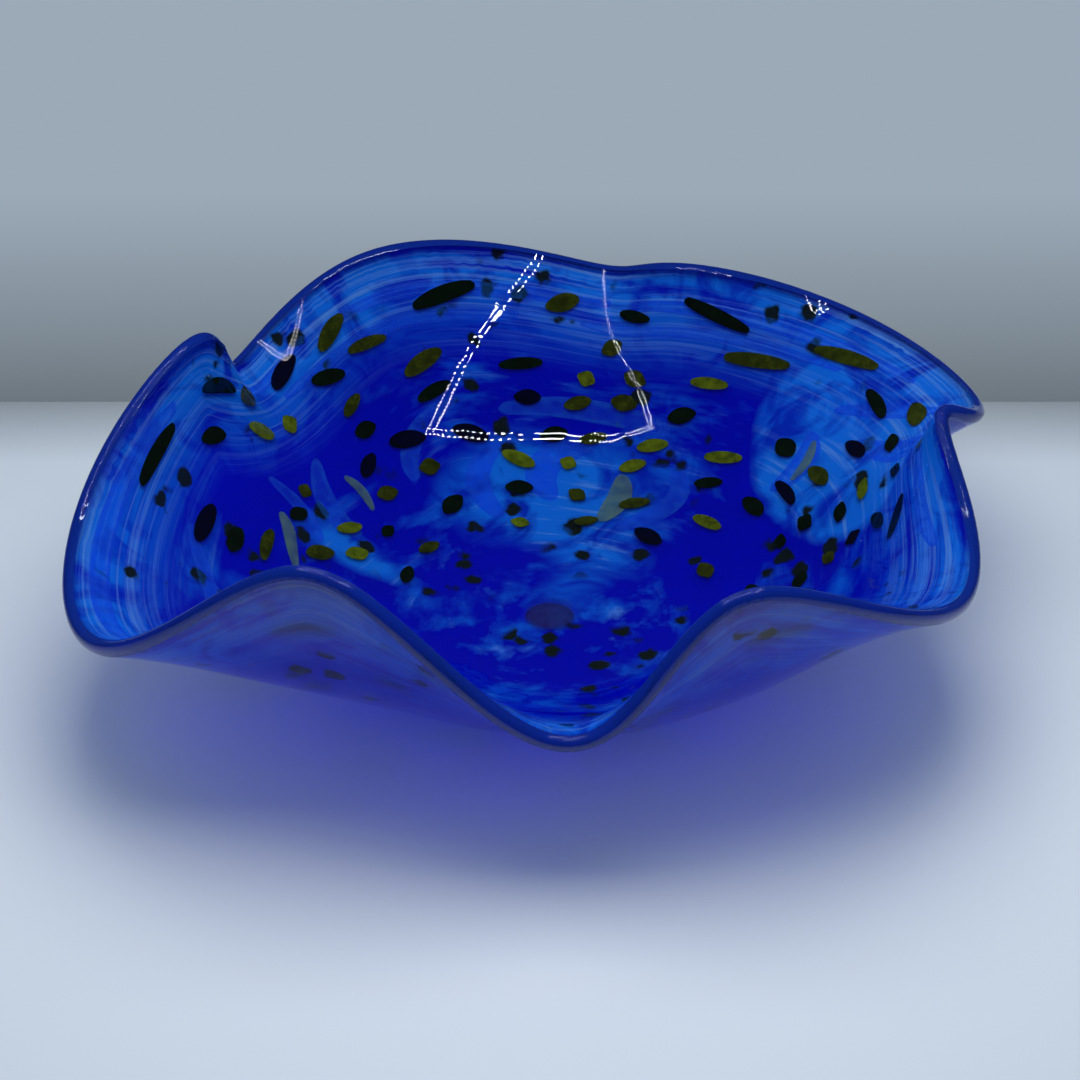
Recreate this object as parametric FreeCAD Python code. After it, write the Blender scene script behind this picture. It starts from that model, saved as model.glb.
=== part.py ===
"""Free-form art glass bowl, blown, cased and pulled into a wavy rim. Millimetres, +Z up.

The origin is the middle of the flat base, on the table. The narrow pouring dip of the rim
faces -Y. Positions on the wall are given as (turn, climb): turn runs 0 to 1 around the bowl
from the front dip towards +X, climb runs 0 at the edge of the flat floor to 1 at the rim.
"""
import FreeCAD, Part
import math
import os
import random

Vector = FreeCAD.Vector

# Driving sizes
RIM_REACH = 150.0          # how far a fully opened-out lobe of the rim lies from the middle
BOWL_HEIGHT = 104.0        # table to the highest fold of the rim
BASE_RADIUS = 30.0         # flat part of the base and of the floor inside
LINING = 1.3               # clear glass inside the bowl
COBALT = 2.4               # blue glass in the middle of the wall
CASING = 1.5               # clear glass outside
FLOOR_GROWTH = 1.8         # the floor is this many times as thick as the wall
LIP_HEIGHT = 2.6           # dark thread melted on the rim
SCAR_RADIUS = 8.5          # spot where the rod that held the hot bowl broke off
SCAR_DEPTH = 1.6
CHIP_LENGTH = 10.0         # common crushed-glass chip
CHIP_WIDTH = 6.0

# Twelve points of the rim: (angle, share of RIM_REACH, share of BOWL_HEIGHT, slope of the lip).
# Lobes that open out (low slope) alternate with folds that stand up (steep slope).
RIM = [
    (-88.5, 0.88, 0.53, 18),
    (-66.0, 0.88, 0.94, 80),
    (-28.0, 0.95, 0.58, 20),
    (2.0, 0.83, 0.78, 75),
    (14.0, 0.97, 0.70, 15),
    (65.0, 0.88, 0.72, 62),
    (84.0, 0.93, 0.65, 40),
    (119.0, 0.90, 0.78, 62),
    (147.0, 0.87, 0.61, 30),
    (164.5, 0.83, 0.86, 85),
    (209.0, 1.08, 0.54, 20),
    (239.4, 0.89, 0.98, 80),
]
BASE_HANDLE = 58.0         # how far the wall runs out flat before it climbs
LIP_HANDLE = 42.0          # how far below the rim the lip's slope takes hold

COLUMNS = 120              # points around each glass surface
ROWS = 21                  # points from floor to rim

os.makedirs("parts", exist_ok=True)


def polar(angle, radius, height):
    """Point at an angle in degrees around the upright axis."""
    turn = math.radians(angle)
    return Vector(radius * math.cos(turn), radius * math.sin(turn), height)


def three_laps(points):
    """Smooth curve three times around through the points, one unit of parameter apart."""
    curve = Part.BSplineCurve()
    curve.interpolate(Points=points * 3, Parameters=list(range(3 * len(points))))
    return curve


def on_middle_lap(curve, turn):
    """Value of a three-lap curve on its middle lap, where it closes on itself."""
    return curve.value(len(RIM) * (1.0 + turn % 1.0))


def skin(rows):
    """Smooth surface that closes on itself along each row of points and runs from row to row."""
    degree = min(3, len(rows) - 1)
    spans = len(rows) - degree
    surface = Part.BSplineSurface()
    surface.buildFromPolesMultsKnots(
        [list(column) for column in zip(*rows)],
        [1] * (len(rows[0]) + 1),
        [degree + 1] + [1] * (spans - 1) + [degree + 1],
        list(range(len(rows[0]) + 1)),
        list(range(spans + 1)),
        True, False, 3, degree)
    return surface


def firmed(points):
    """Row of points pushed away from their neighbours, so that a spline over them meets them."""
    middle = [b * (4.0 / 3.0) - (a + c) / 6.0 for a, b, c in zip(points, points[1:], points[2:])]
    return [points[0]] + middle + [points[-1]]


def sheet(rows):
    """Smooth four-sided surface over a grid of points."""
    columns = [firmed(column) for column in zip(*[firmed(row) for row in rows])]
    counts = [[4] + [1] * (count - 4) + [4] for count in (len(rows), len(columns))]
    surface = Part.BSplineSurface()
    surface.buildFromPolesMultsKnots(
        [list(row) for row in zip(*columns)], counts[0], counts[1],
        list(range(len(counts[0]))), list(range(len(counts[1]))), False, False, 3, 3)
    return surface


def solid_from(faces):
    """Solid bounded by faces that meet edge to edge."""
    shell = Part.makeShell(faces)
    if len(faces) > 1:
        shell.sewShape()
    solid = Part.Solid(shell)
    if solid.Volume < 0:
        solid.reverse()
    return solid


def save(name, solids):
    """Check the node's solids and write its STEP file."""
    for solid in solids:
        if not solid.isValid() or solid.Volume <= 0:
            raise ValueError(name + " has a broken solid")
    shape = solids[0] if len(solids) == 1 else Part.makeCompound(solids)
    shape.exportStep("parts/" + name + ".step")
    print(name, len(solids), "solid(s)", round(shape.Volume / 1000.0, 2), "cm3")


# Shape of the bowl: for each turn the inside surface climbs along one curve with four
# control points: edge of the floor, flat handle, lip handle and rim.
WALL = LINING + COBALT + CASING
FLOOR_TOP = WALL * FLOOR_GROWTH
EVEN_STEP = 360.0 / len(RIM)
rim_chart = three_laps([Vector(angle - (i * EVEN_STEP - 90.0), reach * RIM_REACH, height * BOWL_HEIGHT)
                          for i, (angle, reach, height, slope) in enumerate(RIM)])
slope_chart = three_laps([Vector(slope, 0, 0) for angle, reach, height, slope in RIM])


def inside_point(turn, climb):
    """Point of the inside surface."""
    angle = 360.0 * turn - 90.0
    shift, reach, height = on_middle_lap(rim_chart, turn)
    slope = math.radians(on_middle_lap(slope_chart, turn).x)
    t, s = climb, 1.0 - climb
    weights = [s ** 3, 3 * s * s * t, 3 * s * t * t, t ** 3]
    radii = [BASE_RADIUS, BASE_RADIUS + BASE_HANDLE, reach - LIP_HANDLE * math.cos(slope), reach]
    heights = [FLOOR_TOP, FLOOR_TOP, height - LIP_HANDLE * math.sin(slope), height]
    return polar(angle + shift * climb,
                 sum(w * r for w, r in zip(weights, radii)),
                 sum(w * z for w, z in zip(weights, heights)))


def outward(turn, climb):
    """Unit vector through the wall, from the inside of the bowl to the outside."""
    e = 0.0005
    low = max(climb - e, 0.0)
    high = min(climb + e, 1.0)
    around = inside_point(turn + e, climb) - inside_point(turn - e, climb)
    up = inside_point(turn, high) - inside_point(turn, low)
    return around.cross(up).normalize()


def layer_surface(depth):
    """Glass surface at a depth through the wall, thicker towards the floor."""
    rows = []
    for j in range(ROWS):
        climb = j / (ROWS - 1)
        settle = min(climb / 0.5, 1.0)
        growth = FLOOR_GROWTH + (1.0 - FLOOR_GROWTH) * settle * settle * (3 - 2 * settle)
        rows.append([inside_point(i / COLUMNS, climb) + outward(i / COLUMNS, climb) * depth * growth
                     for i in range(COLUMNS)])
    return rows


depths = [0.0, LINING, LINING + COBALT, WALL]
layer_rows = [layer_surface(depth) for depth in depths]
surfaces = [skin(rows) for rows in layer_rows]
wall_faces = [surface.toShape() for surface in surfaces]
end_faces = [skin([layer_rows[i][-1], layer_rows[i + 1][-1]]).toShape() for i in range(3)]


def floor_face(wall_face):
    """Flat disc that closes the bottom of a glass surface."""
    edge = min(wall_face.Edges, key=lambda e: e.BoundBox.ZMax)
    return Part.Face(Part.Wire([edge]))


# Crushed glass and drawn trails sit inside the blue glass, each in its own slot of the depth.
def glass_point(turn, climb, depth):
    """Point inside the blue glass, depth 0 at its inner side and 1 at its outer side."""
    u = COLUMNS * (turn % 1.0)
    v = (ROWS - 3) * climb
    inner = surfaces[1].value(u, v)
    return inner + (surfaces[2].value(u, v) - inner) * depth


# Outline of a chip or trail: rounding of its ends, in widths, how far it narrows there, and the
# height of its edge as a share of its thickness.
END_ROUNDING = 0.4
TAPER = 0.7
EDGE_SHARE = 0.5


def inclusion(path, width, slot):
    """Sealed sliver of glass that follows a path of (turn, climb) points: two domed patches
    joined by a low wall along its rounded outline."""
    curve = Part.BSplineCurve()
    curve.interpolate([Vector(turn, climb, 0) for turn, climb in path])
    length = sum(glass_point(*start, 0.5).distanceToPoint(glass_point(*end, 0.5))
                 for start, end in zip(path, path[1:]))
    along_count = max(6, 2 + math.ceil(length / 3.5))
    across_count = max(5, 2 + math.ceil(width / 3.5))
    patches = {1: [], -1: []}
    for i in range(along_count):
        for patch in patches.values():
            patch.append([])
        for j in range(across_count):
            s = 2.0 * i / (along_count - 1) - 1.0
            t = 2.0 * j / (across_count - 1) - 1.0
            along = s * (1.0 - t * t * END_ROUNDING * width / length)
            across = t * math.sqrt(1.0 - TAPER * s * s) * width / 2.0
            knot = curve.FirstParameter + (along + 1.0) / 2.0 * (curve.LastParameter - curve.FirstParameter)
            turn, climb, none = curve.value(knot)
            heading = curve.tangent(knot)[0]
            here = glass_point(turn, climb, 0.5)
            mm_per_turn = here.distanceToPoint(glass_point(turn + 0.001, climb, 0.5)) * 1000.0
            mm_per_climb = here.distanceToPoint(glass_point(turn, climb + 0.001, 0.5)) * 1000.0
            east, north = heading.x * mm_per_turn, heading.y * mm_per_climb
            size = math.hypot(east, north)
            rim = i in (0, along_count - 1) or j in (0, across_count - 1)
            for side, patch in patches.items():
                lift = side * (EDGE_SHARE if rim else 1.0)
                depth = (slot[0] + slot[1]) / 2.0 + lift * (slot[1] - slot[0]) / 2.0
                patch[-1].append(glass_point(turn - across * north / size / mm_per_turn,
                                             climb + across * east / size / mm_per_climb, depth))
    domes = [sheet(patch).toShape() for patch in patches.values()]
    walls = [Part.makeRuledSurface(upper, lower) for upper, lower in zip(domes[0].Edges, domes[1].Edges)]
    return solid_from(domes + walls)


CHIP_SLOT = (0.08, 0.36)
OPAL_SLOT = (0.44, 0.56)
AZURE_SLOT = (0.66, 0.88)

# Rings of chips: (climb, chips around, share of CHIP_LENGTH). Longer towards the rim,
# where the hot glass was pulled out most.
CHIP_RINGS = [
    (0.13, 13, 0.9),
    (0.24, 17, 0.9),
    (0.35, 21, 1.0),
    (0.46, 24, 1.1),
    (0.57, 25, 1.1),
    (0.68, 25, 1.2),
    (0.80, 26, 1.4),
    (0.91, 22, 1.7),
]
chance = random.Random(11)
chips = {"olive_chips": [], "green_chips": [], "navy_chips": [], "chartreuse_chips": []}
for climb, count, stretch in CHIP_RINGS:
    for i in range(count):
        turn = (i + chance.uniform(-0.2, 0.2)) / count
        up = climb + chance.uniform(-0.025, 0.025)
        kind = chance.choice(["olive_chips", "olive_chips", "green_chips", "green_chips",
                              "navy_chips", "chartreuse_chips"])
        length = CHIP_LENGTH * stretch * chance.uniform(0.75, 1.3)
        width = CHIP_WIDTH * chance.uniform(0.75, 1.2)
        tilt = math.radians(chance.uniform(-28.0, 28.0))
        kept = chance.random() < (0.35 if turn < 0.2 or turn > 0.78 else 0.9)
        if kept:
            around = 2.0 * math.pi * math.hypot(*glass_point(turn, up, 0.5)[:2])
            climb_mm = 1000.0 * glass_point(turn, up, 0).distanceToPoint(glass_point(turn, up + 0.001, 0))
            dt = length / 2.0 * math.cos(tilt) / around
            dc = length / 2.0 * math.sin(tilt) / climb_mm
            chips[kind].append(inclusion([(turn - dt, up - dc), (turn + dt, up + dc)], width, CHIP_SLOT))

# Trails: (path, width). Drawn-out blue streaks follow the rim and swirl up from the floor.
AZURE_TRAILS = [
    ([(0.34, 0.95), (0.39, 0.93), (0.45, 0.94)], 5.0),
    ([(0.47, 0.94), (0.53, 0.92), (0.60, 0.93)], 5.0),
    ([(0.61, 0.95), (0.65, 0.94), (0.69, 0.95)], 4.0),
    ([(0.36, 0.87), (0.42, 0.85), (0.49, 0.86)], 4.0),
    ([(0.52, 0.85), (0.58, 0.83), (0.64, 0.86)], 5.0),
    ([(0.29, 0.93), (0.30, 0.80), (0.33, 0.68)], 9.0),
    ([(0.32, 0.95), (0.33, 0.85), (0.35, 0.74)], 7.0),
    ([(0.35, 0.64), (0.34, 0.55), (0.34, 0.42)], 10.0),
    ([(0.41, 0.50), (0.47, 0.55), (0.53, 0.52)], 9.0),
    ([(0.55, 0.56), (0.58, 0.46), (0.59, 0.34)], 8.0),
    ([(0.40, 0.38), (0.39, 0.24), (0.42, 0.12)], 9.0),
    ([(0.46, 0.44), (0.50, 0.33), (0.49, 0.20)], 12.0),
    ([(0.53, 0.40), (0.55, 0.28), (0.54, 0.14)], 9.0),
    ([(0.65, 0.62), (0.67, 0.50), (0.67, 0.30)], 9.0),
    ([(0.71, 0.62), (0.70, 0.50), (0.71, 0.36)], 6.0),
    ([(0.75, 0.94), (0.79, 0.96), (0.84, 0.94)], 7.0),
    ([(0.77, 0.72), (0.80, 0.60), (0.84, 0.52)], 7.0),
    ([(0.87, 0.90), (0.93, 0.80), (0.98, 0.86)], 7.0),
    ([(0.06, 0.88), (0.11, 0.90), (0.16, 0.86)], 6.0),
    ([(0.19, 0.94), (0.22, 0.90), (0.26, 0.93)], 6.0),
    ([(0.10, 0.55), (0.16, 0.45), (0.22, 0.42)], 8.0),
    ([(0.88, 0.45), (0.95, 0.35), (1.02, 0.40)], 8.0),
]
OPAL_TRAILS = [
    ([(0.72, 0.50), (0.73, 0.42), (0.75, 0.36)], 5.0),
    ([(0.435, 0.32), (0.43, 0.22), (0.44, 0.13)], 9.0),
    ([(0.345, 0.62), (0.338, 0.55), (0.335, 0.48)], 4.0),
    ([(0.64, 0.50), (0.635, 0.42), (0.64, 0.34)], 4.0),
]
trails = {
    "azure_trails": [inclusion(path, width, AZURE_SLOT) for path, width in AZURE_TRAILS],
    "opal_trails": [inclusion(path, width, OPAL_SLOT) for path, width in OPAL_TRAILS],
}

# Layers of the wall. The blue glass has a hollow for every chip and trail.
floor_faces = [floor_face(face) for face in wall_faces]
layers = []
for i in range(3):
    layers.append(solid_from([wall_faces[i], wall_faces[i + 1], floor_faces[i], floor_faces[i + 1], end_faces[i]]))
inclusions = list(chips.items()) + list(trails.items())
save("clear_lining", [layers[0]])
save("cobalt_body", layers[1].cut([solid for name, solids in inclusions for solid in solids]).Solids)
for name, solids in inclusions:
    save(name, solids)

# Broken-off rod: a low cap of rough glass let into the base, ground level with it.
cap_radius = (SCAR_RADIUS ** 2 + SCAR_DEPTH ** 2) / (2.0 * SCAR_DEPTH)
cap_ball = Part.makeSphere(cap_radius, Vector(0, 0, SCAR_DEPTH - cap_radius))
above_table = Part.makeBox(60, 60, 20, Vector(-30, -30, 0))
save("clear_casing", layers[2].cut(cap_ball).Solids)
save("pontil_scar", cap_ball.common(above_table).Solids)

# Dark thread melted on the rim: it covers the ends of all three layers.
lip_rows = []
for k in range(7):
    swing = math.pi * k / 6.0
    row = []
    for i in range(COLUMNS):
        inner, outer = layer_rows[0][-1][i], layer_rows[3][-1][i]
        up = (inside_point(i / COLUMNS, 1.0) - inside_point(i / COLUMNS, 0.995)).normalize()
        middle = (inner + outer) / 2.0
        row.append(middle + (inner - outer) / 2.0 * math.cos(swing) + up * LIP_HEIGHT * math.sin(swing))
    lip_rows.append(row)
save("lip_thread", [solid_from([skin(lip_rows).toShape()] + end_faces)])
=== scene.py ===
import math
import bpy
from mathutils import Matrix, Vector, kdtree


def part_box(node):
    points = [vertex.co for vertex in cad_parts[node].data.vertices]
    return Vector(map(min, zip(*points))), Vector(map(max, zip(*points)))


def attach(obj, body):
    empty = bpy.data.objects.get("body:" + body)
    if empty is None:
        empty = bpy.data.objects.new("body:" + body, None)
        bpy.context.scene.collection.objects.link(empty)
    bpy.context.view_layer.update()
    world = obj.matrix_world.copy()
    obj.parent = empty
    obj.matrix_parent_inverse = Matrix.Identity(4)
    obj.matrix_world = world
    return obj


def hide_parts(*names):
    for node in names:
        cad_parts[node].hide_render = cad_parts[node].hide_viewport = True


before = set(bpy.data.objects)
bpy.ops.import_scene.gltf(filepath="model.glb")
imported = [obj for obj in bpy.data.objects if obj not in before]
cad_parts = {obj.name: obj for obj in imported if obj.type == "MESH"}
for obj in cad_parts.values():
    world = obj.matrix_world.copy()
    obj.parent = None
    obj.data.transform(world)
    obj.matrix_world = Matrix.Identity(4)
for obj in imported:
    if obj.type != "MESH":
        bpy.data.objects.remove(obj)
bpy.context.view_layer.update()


# ---- Clear wall -------------------------------------------------------------------------------
# The clear glass that cases the bowl inside and out: one gather blown in a blue one and dipped
# again. Its two polished skins are one piece here, so that light bends through it as it should;
# the lip thread closes the gap between them at the rim.

def hold(*objects):
    """Select these objects and nothing else."""
    bpy.ops.object.select_all(action="DESELECT")
    for thing in objects:
        thing.select_set(True)
    bpy.context.view_layer.objects.active = objects[0]


def welded_copy(node, name):
    """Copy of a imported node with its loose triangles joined."""
    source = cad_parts[node]
    piece = bpy.data.objects.new(name, source.data.copy())
    bpy.context.scene.collection.objects.link(piece)
    piece.data.materials.clear()
    hold(piece)
    bpy.ops.object.mode_set(mode="EDIT")
    bpy.ops.mesh.select_all(action="SELECT")
    bpy.ops.mesh.remove_doubles(threshold=0.00002)
    bpy.ops.object.mode_set(mode="OBJECT")
    bpy.ops.mesh.customdata_custom_splitnormals_clear()
    return piece


def keep_skin(piece, near):
    """Keep only the smooth skin around the face that is nearest to a point."""
    seed = min(piece.data.polygons, key=lambda face: (face.center - Vector(near)).length).index
    hold(piece)
    bpy.ops.object.mode_set(mode="EDIT")
    bpy.ops.mesh.select_mode(type="FACE")
    bpy.ops.mesh.select_all(action="DESELECT")
    bpy.ops.object.mode_set(mode="OBJECT")
    piece.data.polygons[seed].select = True
    bpy.ops.object.mode_set(mode="EDIT")
    bpy.ops.mesh.faces_select_linked_flat(sharpness=math.radians(40))
    bpy.ops.mesh.select_all(action="INVERT")
    bpy.ops.mesh.delete(type="FACE")
    bpy.ops.object.mode_set(mode="OBJECT")


clear_wall = welded_copy("clear_casing", "clear_wall")
keep_skin(clear_wall, (0.02, 0, 0))
lining_skin = welded_copy("clear_lining", "lining_skin")
keep_skin(lining_skin, (0, 0, 0.05))
hold(clear_wall, lining_skin)
bpy.ops.object.join()
bpy.ops.object.shade_smooth_by_angle(angle=math.radians(40))


def linear(code):
    """Linear colour of an sRGB hex code."""
    parts = [int(code[i:i + 2], 16) / 255 for i in (0, 2, 4)]
    return [c / 12.92 if c <= 0.04045 else ((c + 0.055) / 1.055) ** 2.4 for c in parts] + [1]


def new_material(name):
    """Empty node material and its tree."""
    material = bpy.data.materials.new(name)
    material.use_nodes = True
    material.node_tree.nodes.clear()
    return material, material.node_tree


def put(tree, kind, inputs={}, **settings):
    """Add a node with its settings, input values and links, and return it."""
    node = tree.nodes.new("ShaderNode" + kind)
    for name, value in settings.items():
        setattr(node, name, value)
    for socket, value in inputs.items():
        if isinstance(value, bpy.types.NodeSocket):
            tree.links.new(value, node.inputs[socket])
        else:
            node.inputs[socket].default_value = value
    return node


# Soda-lime glass, fire-polished: smooth and bright, with the faint waves of hot handling.
casing_glass, tree = new_material("fire_polished_clear_glass")
place = put(tree, "TexCoord").outputs["Object"]
waves = put(tree, "TexNoise", {"Vector": place, "Scale": 45.0, "Detail": 1.0, "Roughness": 0.4})
bump = put(tree, "Bump", {"Height": waves.outputs["Fac"], "Strength": 0.02, "Distance": 0.002})
glass = put(tree, "BsdfPrincipled", {
    "Base Color": linear("F2F7FA"), "Roughness": 0.0, "IOR": 1.5,
    "Transmission Weight": 1.0, "Normal": bump.outputs["Normal"]})
through = put(tree, "BsdfTransparent", {"Color": linear("E6EEF6")})
path = put(tree, "LightPath")
both = put(tree, "MixShader", {0: path.outputs["Is Shadow Ray"], 1: glass.outputs[0],
                               2: through.outputs[0]})
put(tree, "OutputMaterial", {"Surface": both.outputs[0]})
clear_wall.data.materials.append(casing_glass)
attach(clear_wall, "root")
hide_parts("clear_lining", "clear_casing")


# ---- Blue sheet -------------------------------------------------------------------------------
# The cobalt glass in the middle of the wall, and the milky azure that was trailed over it and
# pulled into streaks. It lies under the crushed glass when seen from inside the bowl.

SHEET_THICKNESS = 0.0003

blue_sheet = welded_copy("cobalt_body", "blue_sheet")
keep_skin(blue_sheet, (0, 0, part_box("cobalt_body")[0][2]))
hold(blue_sheet)
bpy.ops.object.shade_smooth()

# How far each point lies from the rim and from the middle of the floor.
rim_tree = kdtree.KDTree(len(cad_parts["lip_thread"].data.vertices))
for i, vertex in enumerate(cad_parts["lip_thread"].data.vertices):
    rim_tree.insert(vertex.co, i)
rim_tree.balance()
blue_sheet.data.attributes.new("wall", "FLOAT_VECTOR", "POINT")
blue_sheet.data.attributes.new("rim_mm", "FLOAT", "POINT")
wall = blue_sheet.data.attributes["wall"]
rim_mm = blue_sheet.data.attributes["rim_mm"]
for vertex in blue_sheet.data.vertices:
    to_rim = rim_tree.find(vertex.co)[2]
    to_middle = vertex.co.length
    around = math.atan2(vertex.co.y, vertex.co.x)
    wall.data[vertex.index].vector = (math.cos(around), math.sin(around), to_middle / (to_middle + to_rim))
    rim_mm.data[vertex.index].value = to_rim * 1000

thicken = blue_sheet.modifiers.new("sheet", "SOLIDIFY")
thicken.thickness = SHEET_THICKNESS
thicken.offset = -1
hold(blue_sheet)
bpy.ops.object.modifier_apply(modifier="sheet")

# Cobalt glass: nearly opaque violet-blue that glows where light comes through. The azure is an
# opal glass: milky, so that it catches the light and looks pale against the cobalt.
sheet_glass, tree = new_material("cobalt_and_azure_glass")
where = put(tree, "Attribute", attribute_name="wall")
from_rim = put(tree, "Attribute", attribute_name="rim_mm").outputs["Fac"]
place = put(tree, "TexCoord").outputs["Object"]


def streaks(scale_around, scale_up, seed, low, high):
    """Streaks pulled out along the rim, 0 to 1."""
    flat = put(tree, "VectorMath", {0: where.outputs["Vector"], 1: (scale_around, scale_around, scale_up)},
               operation="MULTIPLY")
    noise = put(tree, "TexNoise", {"Vector": flat.outputs[0], "W": seed, "Scale": 1.0, "Detail": 4.0,
                                   "Roughness": 0.6, "Distortion": 0.3}, noise_dimensions="4D")
    return put(tree, "MapRange", {"Value": noise.outputs["Fac"], "From Min": low, "From Max": high},
               clamp=True).outputs["Result"]


def combine(a, b, how):
    """Two values worked together by one arithmetic step."""
    return put(tree, "Math", {0: a, 1: b}, operation=how).outputs[0]


def patch(angle, rise, half_around, half_up, soft, ragged):
    """Oval patch on the wall at an angle and a rise, 1 inside and 0 outside, with ragged edges."""
    centred = put(tree, "VectorRotate", {"Vector": where.outputs["Vector"],
                                         "Angle": -math.radians(angle)}, rotation_type="Z_AXIS")
    split = put(tree, "SeparateXYZ", {0: centred.outputs[0]})
    wobble = put(tree, "TexNoise", {"Vector": place, "Scale": 28.0, "Detail": 3.0, "Distortion": 1.5})
    u = combine(split.outputs["Y"], 1 / half_around, "MULTIPLY")
    v = combine(combine(split.outputs["Z"], rise, "SUBTRACT"), 1 / half_up, "MULTIPLY")
    flat = put(tree, "CombineXYZ", {0: u, 1: v}).outputs[0]
    far = put(tree, "VectorMath", {0: flat}, operation="LENGTH")
    rough = put(tree, "MapRange", {"Value": wobble.outputs["Fac"], "To Min": -ragged, "To Max": ragged})
    edge = combine(far.outputs["Value"], rough.outputs["Result"], "ADD")
    inside = put(tree, "MapRange", {"Value": edge, "From Min": 1.0 + soft, "From Max": 1.0 - soft},
                 clamp=True)
    facing = combine(split.outputs["X"], 0.0, "GREATER_THAN")
    return combine(inside.outputs["Result"], facing, "MULTIPLY")


def fade(value, none, full):
    """0 where a value is at or past the first limit, 1 at or past the second."""
    return put(tree, "MapRange", {"Value": value, "From Min": none, "From Max": full}, clamp=True).outputs[0]


def blend(amount, first, second):
    """Colour that goes from the first to the second as the amount goes from 0 to 1."""
    return put(tree, "Mix", {0: amount, 6: first, 7: second}, data_type="RGBA").outputs[2]


# The azure: a streaked band along the rim, thin drifts lower down, and the large patches.
RIM_BAND_START_MM = 42.0
RIM_BAND_FULL_MM = 12.0

near_rim = fade(from_rim, RIM_BAND_START_MM, RIM_BAND_FULL_MM)
azure = combine(near_rim, streaks(2.0, 26.0, 1.0, 0.34, 0.50), "MULTIPLY")
azure = combine(azure, combine(streaks(1.6, 9.0, 7.0, 0.50, 0.66), 0.8, "MULTIPLY"), "MAXIMUM")
# Angle, rise, half width around, half height, softness of the edge, raggedness of the edge.
PATCHES = [
    (89, 0.42, 0.50, 0.16, 0.25, 0.30),
    (24, 0.76, 0.36, 0.22, 0.06, 0.15),
    (120, 0.90, 0.50, 0.05, 0.40, 0.40),
    (160, 0.48, 0.11, 0.13, 0.30, 0.50),
    (67, 0.25, 0.40, 0.06, 0.40, 0.60),
    (201, 0.95, 0.45, 0.05, 0.40, 0.30),
    (194, 0.60, 0.13, 0.10, 0.30, 0.50),
]
for place_and_size in PATCHES:
    azure = combine(azure, patch(*place_and_size), "MAXIMUM")
drifts = put(tree, "TexNoise", {"Vector": place, "Scale": 34.0, "Detail": 4.0, "Distortion": 2.2})
holes = put(tree, "MapRange", {"Value": drifts.outputs["Fac"], "From Min": 0.34, "From Max": 0.52,
                               "To Min": 0.2, "To Max": 1.0}, clamp=True).outputs[0]
azure = combine(azure, holes, "MULTIPLY")

# Small dark flecks in loose clusters, and fine pale lines in the azure.
warp = put(tree, "TexNoise", {"Vector": place, "Scale": 160.0, "Detail": 2.0}).outputs["Color"]
warp = put(tree, "VectorMath", {0: warp, 3: 0.006}, operation="SCALE").outputs[0]
warped = put(tree, "VectorMath", {0: place, 1: warp}, operation="ADD").outputs[0]
flecks = put(tree, "TexVoronoi", {"Vector": warped, "Scale": 85.0, "Randomness": 1.0})
clusters = put(tree, "TexNoise", {"Vector": place, "Scale": 22.0, "Detail": 1.0})
fleck = combine(fade(flecks.outputs["Distance"], 0.34, 0.24), fade(clusters.outputs["Fac"], 0.50, 0.54),
                "MULTIPLY")
pale = combine(combine(near_rim, streaks(1.2, 120.0, 4.0, 0.50, 0.68), "MULTIPLY"),
               combine(azure, streaks(2.0, 60.0, 9.0, 0.55, 0.75), "MULTIPLY"), "MAXIMUM")

COBALT = linear("000ABC")
COBALT_TINT = linear("1450FF")
AZURE = linear("1480E8")
AZURE_TINT = linear("60B8FF")
PALE_AZURE = linear("78B0E8")
DARK_FLECK = linear("141E10")

colour = blend(azure, COBALT, AZURE)
colour = blend(pale, colour, PALE_AZURE)
colour = blend(fleck, colour, DARK_FLECK)
tint = blend(azure, COBALT_TINT, AZURE_TINT)
milky = put(tree, "MapRange", {"Value": azure, "To Min": 0.5, "To Max": 0.8}).outputs[0]
milky = combine(milky, combine(fleck, 0.85, "MULTIPLY"), "MAXIMUM")

# The colour is thin where the bottom was drawn out, so the scar shows through it.
THIN_RADIUS = 0.0075
THIN_EDGE_RADIUS = 0.0115

centre = put(tree, "VectorMath", {0: place, 1: (1.0, 1.0, 0.0)}, operation="MULTIPLY").outputs[0]
centre = put(tree, "VectorMath", {0: centre}, operation="LENGTH").outputs["Value"]
thin = fade(centre, THIN_EDGE_RADIUS, THIN_RADIUS)
tint = blend(thin, tint, linear("B0B8E8"))
thinned = put(tree, "MapRange", {"Value": thin, "To Min": 1.0, "To Max": 0.1}).outputs[0]
milky = combine(milky, thinned, "MULTIPLY")

glow = put(tree, "BsdfTranslucent", {"Color": colour})
skin = put(tree, "BsdfDiffuse", {"Color": colour})
body = put(tree, "MixShader", {0: 0.7, 1: glow.outputs[0], 2: skin.outputs[0]})
clear = put(tree, "BsdfTransparent", {"Color": tint})
whole = put(tree, "MixShader", {0: milky, 1: clear.outputs[0], 2: body.outputs[0]})
put(tree, "OutputMaterial", {"Surface": whole.outputs[0]})
blue_sheet.data.materials.append(sheet_glass)
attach(blue_sheet, "root")
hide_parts("cobalt_body")


# ---- Crushed glass and trails -----------------------------------------------------------------
# Chips of coloured glass that the hot gather was rolled in, and threads trailed over it. Each
# colour is see-through, so it shows bright over the azure and nearly black over the cobalt.

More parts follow.
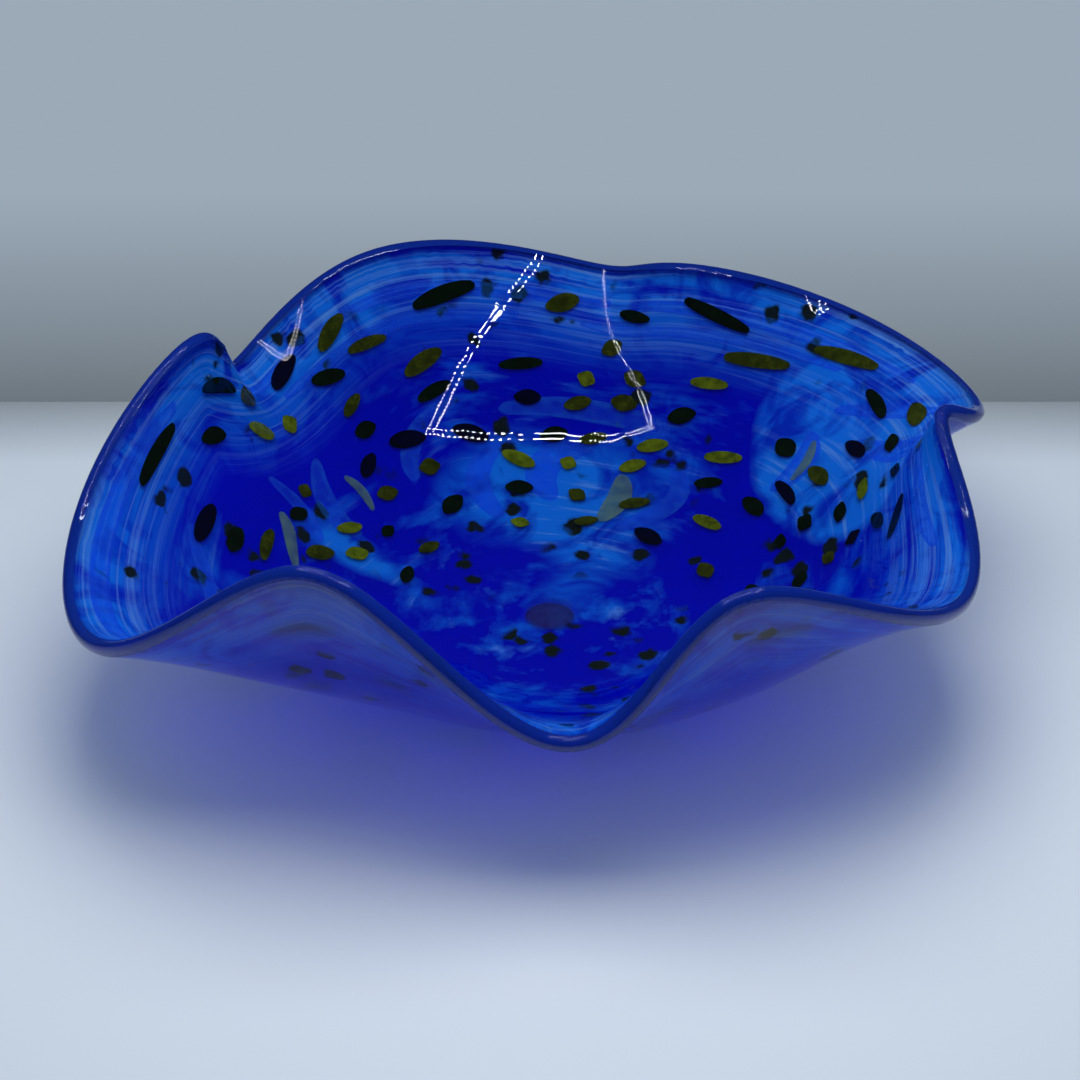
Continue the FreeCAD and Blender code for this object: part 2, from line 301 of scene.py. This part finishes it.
def inlaid_glass(name, body_colour, tint_colour, milkiness):
    """Coloured glass sealed in the wall: a tint for what lies behind it and a milky body."""
    material, tree = new_material(name)
    place = put(tree, "TexCoord").outputs["Object"]
    cloud = put(tree, "TexNoise", {"Vector": place, "Scale": 260.0, "Detail": 3.0})
    shade = put(tree, "MapRange", {"Value": cloud.outputs["Fac"], "From Min": 0.3, "From Max": 0.7,
                                   "To Min": milkiness * 0.5, "To Max": milkiness * 1.5}).outputs[0]
    glow = put(tree, "BsdfTranslucent", {"Color": linear(body_colour)})
    skin = put(tree, "BsdfDiffuse", {"Color": linear(body_colour)})
    body = put(tree, "MixShader", {0: 0.5, 1: glow.outputs[0], 2: skin.outputs[0]})
    clear = put(tree, "BsdfTransparent", {"Color": linear(tint_colour)})
    whole = put(tree, "MixShader", {0: shade, 1: clear.outputs[0], 2: body.outputs[0]})
    put(tree, "OutputMaterial", {"Surface": whole.outputs[0]})
    return material


# Colour of the milky body, colour of the light that comes through, and how milky it is.
INLAYS = {
    "olive_chips": ("6C7818", "889030", 0.30),
    "green_chips": ("102810", "305828", 0.40),
    "navy_chips": ("020430", "101868", 0.5),
    "chartreuse_chips": ("98A820", "B4C030", 0.40),
    "azure_trails": ("3CA0FF", "D4E8FF", 0.12),
    "opal_trails": ("A8C8A0", "B8E0E0", 0.22),
}
for node, (body_colour, tint_colour, milkiness) in INLAYS.items():
    glass = inlaid_glass(node + "_glass", body_colour, tint_colour, milkiness)
    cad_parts[node].material_slots[0].material = glass


# ---- Lip thread -------------------------------------------------------------------------------
# A thin dark thread laid on the hot rim and melted in. Its colour gathers to near black where it
# is thick and clears at the edges.

lip_glass, tree = new_material("dark_lip_glass")
glass = put(tree, "BsdfPrincipled", {"Base Color": linear("1034A0"), "Roughness": 0.03, "IOR": 1.5,
                                     "Transmission Weight": 0.6})
through = put(tree, "BsdfTransparent", {"Color": linear("2048A0")})
path = put(tree, "LightPath")
both = put(tree, "MixShader", {0: path.outputs["Is Shadow Ray"], 1: glass.outputs[0],
                               2: through.outputs[0]})
put(tree, "OutputMaterial", {"Surface": both.outputs[0]})
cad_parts["lip_thread"].material_slots[0].material = lip_glass


# ---- Pontil scar ------------------------------------------------------------------------------
# The spot where the iron rod that held the hot bowl was cracked off: rough, with a brown scale, painted
# paler than it is as painted light against the shade under the bowl.

scar_glass, tree = new_material("broken_scar_glass")
place = put(tree, "TexCoord").outputs["Object"]
crust = put(tree, "TexNoise", {"Vector": place, "Scale": 320.0, "Detail": 5.0, "Roughness": 0.7})
# The pale end of the scale colour is painted light, so that the scar shows in the shade under the bowl.
colour = blend(crust.outputs["Fac"], linear("904838"), linear("F0C8A8"))
bump = put(tree, "Bump", {"Height": crust.outputs["Fac"], "Strength": 0.8, "Distance": 0.001})
scar = put(tree, "BsdfPrincipled", {"Base Color": colour, "Roughness": 0.4,
                                    "Normal": bump.outputs["Normal"]})
put(tree, "OutputMaterial", {"Surface": scar.outputs[0]})
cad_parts["pontil_scar"].material_slots[0].material = scar_glass


# ---- Table and backdrop -----------------------------------------------------------------------
# A small light tent: a pale sheet to stand on and a greyer sheet close behind, which only shows
# from the front.

FLOOR_SIZE = 4.0
BACKDROP_Y = 0.155
FOLD_SHADE = 0.045      # how far the shade of the back fold reaches over the floor
BACKDROP_SHADE = 0.09   # and up the backdrop

bpy.ops.object.select_all(action="DESELECT")
bpy.ops.mesh.primitive_plane_add(size=FLOOR_SIZE, location=(0, 0, 0))
table = bpy.context.active_object
table.name = "table"
paper, tree = new_material("matt_white_paper")
place = put(tree, "TexCoord").outputs["Object"]
split = put(tree, "SeparateXYZ", {0: place}).outputs
from_fold = put(tree, "Math", {0: combine(split["Y"], BACKDROP_Y, "SUBTRACT")}, operation="ABSOLUTE")
shade = blend(fade(from_fold.outputs[0], FOLD_SHADE, 0.0), linear("D8E0E8"), linear("A4ACB4"))
sheet = put(tree, "BsdfPrincipled", {"Base Color": shade, "Roughness": 0.7})
put(tree, "OutputMaterial", {"Surface": sheet.outputs[0]})
table.data.materials.append(paper)

bpy.ops.object.select_all(action="DESELECT")
bpy.ops.mesh.primitive_plane_add(size=FLOOR_SIZE, location=(0, BACKDROP_Y, FLOOR_SIZE / 2),
                                 rotation=(math.pi / 2, 0, 0))
backdrop = bpy.context.active_object
backdrop.name = "backdrop"
bpy.ops.object.transform_apply(location=True, rotation=True, scale=True)
cloth, tree = new_material("tent_cloth_painted_glow")
seen = put(tree, "NewGeometry").outputs["Backfacing"]
place = put(tree, "TexCoord").outputs["Object"]
split = put(tree, "SeparateXYZ", {0: place}).outputs
shade = blend(fade(split["Z"], 0.0, BACKDROP_SHADE), linear("6C767E"), linear("9CAAB8"))
# The backdrop's brightness is painted light: it glows with its own light, with painted shade darker towards
# its foot.
front = put(tree, "Emission", {"Color": shade})
none = put(tree, "BsdfTransparent")
both = put(tree, "MixShader", {0: seen, 1: front.outputs[0], 2: none.outputs[0]})
put(tree, "OutputMaterial", {"Surface": both.outputs[0]})
backdrop.data.materials.append(cloth)
backdrop.visible_glossy = False
backdrop.visible_shadow = False


# ---- Lamps ------------------------------------------------------------------------------------
# A soft overhead glow, and the tent's ring of small lamps: a double row on each side of an
# oblong. The little lamps only show as sparks in the polished glass.

LAMP_RADIUS = 0.002
LAMP_PITCH = 0.008
ROW_GAP = 0.014
RING_X = 0.30
RING_Y = 0.20
RING_MIDDLE = (0.0, -0.03, 0.40)

spark, tree = new_material("small_white_lamps")
emit = put(tree, "Emission", {"Color": linear("F4F8FF"), "Strength": 45.0})
put(tree, "OutputMaterial", {"Surface": emit.outputs[0]})
for name, across, gap, length in (("lamps_left_right", (RING_X, 0, 0), (ROW_GAP, 0, 0), RING_Y),
                                  ("lamps_front_back", (0, RING_Y, 0), (0, ROW_GAP, 0), RING_X)):
    along = (0, LAMP_PITCH, 0) if across[0] else (LAMP_PITCH, 0, 0)
    start = Vector(RING_MIDDLE) - (Vector(across) + Vector(along).normalized() * length + Vector(gap)) / 2
    bpy.ops.object.select_all(action="DESELECT")
    bpy.ops.mesh.primitive_circle_add(vertices=8, radius=LAMP_RADIUS, fill_type="NGON", location=start)
    lamps = bpy.context.active_object
    lamps.name = name
    bpy.ops.object.transform_apply(location=True, rotation=True, scale=True)
    for step, count in ((along, round(length / LAMP_PITCH) + 1), (gap, 2), (across, 2)):
        array = lamps.modifiers.new("row", "ARRAY")
        array.use_relative_offset = False
        array.use_constant_offset = True
        array.constant_offset_displace = step
        array.count = count
        bpy.ops.object.modifier_apply(modifier="row")
    lamps.data.materials.append(spark)
    lamps.visible_camera = False
    lamps.visible_diffuse = False
    lamps.visible_transmission = False
    lamps.visible_shadow = False

light = bpy.data.lights.new("overhead", "AREA")
light.energy = 1.5
light.shape = "RECTANGLE"
light.size = 0.36
light.size_y = 0.3
overhead = bpy.data.objects.new("overhead", light)
overhead.location = (0, -0.05, 0.42)
overhead.visible_glossy = False
overhead.visible_transmission = False
bpy.context.scene.collection.objects.link(overhead)

# The tent is bright for the table and dark in the polished reflections.
world = bpy.data.worlds.new("tent")
bpy.context.scene.world = world
world.use_nodes = True
tree = world.node_tree
tree.nodes.clear()
path = put(tree, "LightPath")
cloth_light = put(tree, "Background", {"Color": linear("B4C0CC"), "Strength": 0.7})
dark = put(tree, "Background", {"Color": linear("404858"), "Strength": 0.5})
both = put(tree, "MixShader", {0: path.outputs["Is Glossy Ray"], 1: cloth_light.outputs[0],
                               2: dark.outputs[0]})
put(tree, "OutputWorld", {"Surface": both.outputs[0]})


# ---- Camera -----------------------------------------------------------------------------------
# The bowl from the front and a little above its rim, close up.

CAMERA_TARGET = (-0.0033, 0, 0.0364)
CAMERA_DISTANCE = 0.862
CAMERA_ELEVATION = 33.0
CAMERA_LENS = 86.5

camera = bpy.data.objects.new("camera", bpy.data.cameras.new("camera"))
tilt = math.radians(CAMERA_ELEVATION)
back_and_up = Vector((0, -math.cos(tilt), math.sin(tilt)))
camera.location = Vector(CAMERA_TARGET) + CAMERA_DISTANCE * back_and_up
camera.rotation_euler = (math.pi / 2 - tilt, 0, 0)
camera.data.lens = CAMERA_LENS
bpy.context.scene.collection.objects.link(camera)
bpy.context.scene.camera = camera
bpy.context.scene.view_settings.view_transform = "Standard"
bpy.context.scene.cycles.transparent_max_bounces = 16
